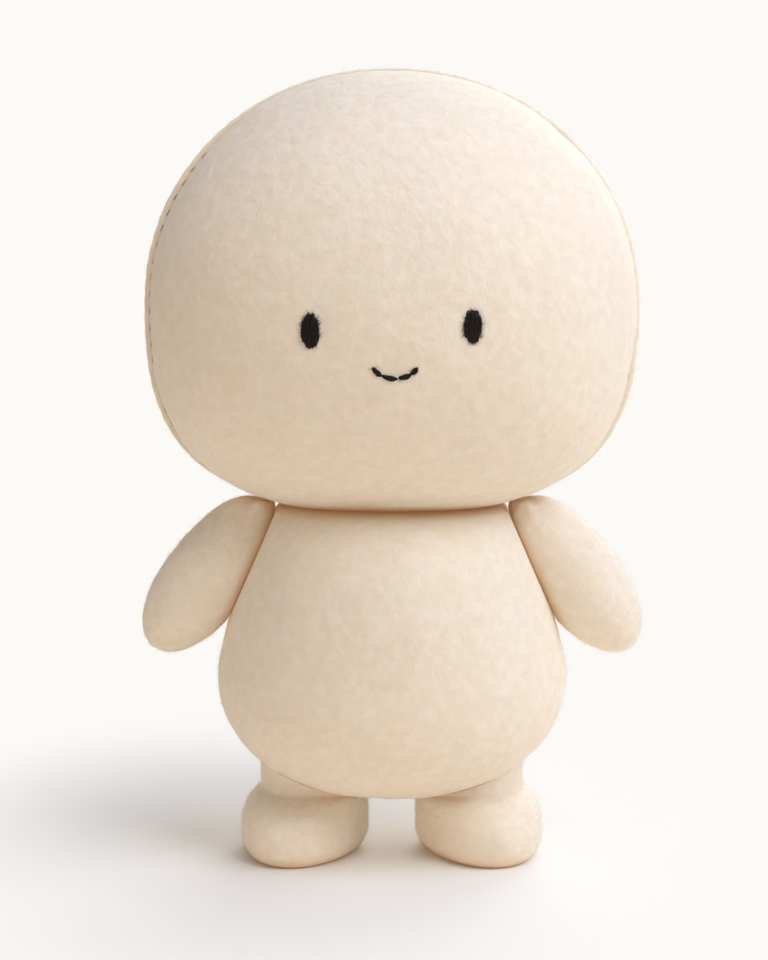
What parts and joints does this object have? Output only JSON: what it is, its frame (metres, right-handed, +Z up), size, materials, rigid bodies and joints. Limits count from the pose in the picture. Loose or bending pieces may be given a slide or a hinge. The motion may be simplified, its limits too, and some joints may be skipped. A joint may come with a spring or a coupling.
{
  "type": "felt doll",
  "caption": "Sewn wool felt doll with a large rounded head, stitched eyes and smile, short arms and feet; the head and arms turn on disc joints.",
  "frame": {"origin": "on the surface that the soles stand on, midway between the feet and under the turning axis of the head", "axes": "+Z up, the face looks along -Y, +X towards the doll's own left"},
  "size_m": [0.1542, 0.1124, 0.2393],
  "materials": {
    "felt": "napped wool felt",
    "stuffing": "loose polyester fibre",
    "thread": "stranded embroidery cotton",
    "fibreboard": "pressed hardboard",
    "card": "grey-brown card",
    "steel": "zinc plated"
  },
  "bodies": {
    "torso": {"torso_front_panel": "felt", "torso_back_panel": "felt", "torso_stuffing": "stuffing", "neck_torso_disc": "fibreboard", "neck_torso_washer": "steel", "left_shoulder_disc": "fibreboard", "left_shoulder_washer": "steel", "left_leg_outer_panel": "felt", "left_leg_inner_panel": "felt", "left_leg_stuffing": "stuffing", "left_sole": "felt", "left_insole": "card", "right_shoulder_disc": "fibreboard", "right_shoulder_washer": "steel", "right_leg_outer_panel": "felt", "right_leg_inner_panel": "felt", "right_leg_stuffing": "stuffing", "right_sole": "felt", "right_insole": "card"},
    "head": {"head_front_panel": "felt", "head_back_panel": "felt", "head_stuffing": "stuffing", "left_eye": "thread", "right_eye": "thread", "mouth_stitch_1": "thread", "mouth_stitch_2": "thread", "mouth_stitch_3": "thread", "mouth_stitch_4": "thread", "neck_head_disc": "fibreboard", "neck_head_washer": "steel", "neck_cotter_pin": "steel"},
    "left_arm": {"left_arm_front_panel": "felt", "left_arm_back_panel": "felt", "left_arm_stuffing": "stuffing", "left_arm_disc": "fibreboard", "left_arm_washer": "steel", "left_shoulder_cotter_pin": "steel"},
    "right_arm": {"right_arm_front_panel": "felt", "right_arm_back_panel": "felt", "right_arm_stuffing": "stuffing", "right_arm_disc": "fibreboard", "right_arm_washer": "steel", "right_shoulder_cotter_pin": "steel"}
  },
  "joints": [
    {"name": "neck_turn", "type": "hinge", "parent": "torso", "child": "head", "pos_m": [0, 0, 0.1082], "axis": [0, 0, 1], "continuous": true},
    {"name": "left_arm_swing", "type": "hinge", "parent": "torso", "child": "left_arm", "pos_m": [0.04011, 0, 0.09588], "axis": [-0.9159, 0, -0.4015], "range_deg": [-90, 90]},
    {"name": "right_arm_swing", "type": "hinge", "parent": "torso", "child": "right_arm", "pos_m": [-0.04011, 0, 0.09588], "axis": [-0.9159, 0, 0.4015], "range_deg": [-90, 90]}
  ]
}
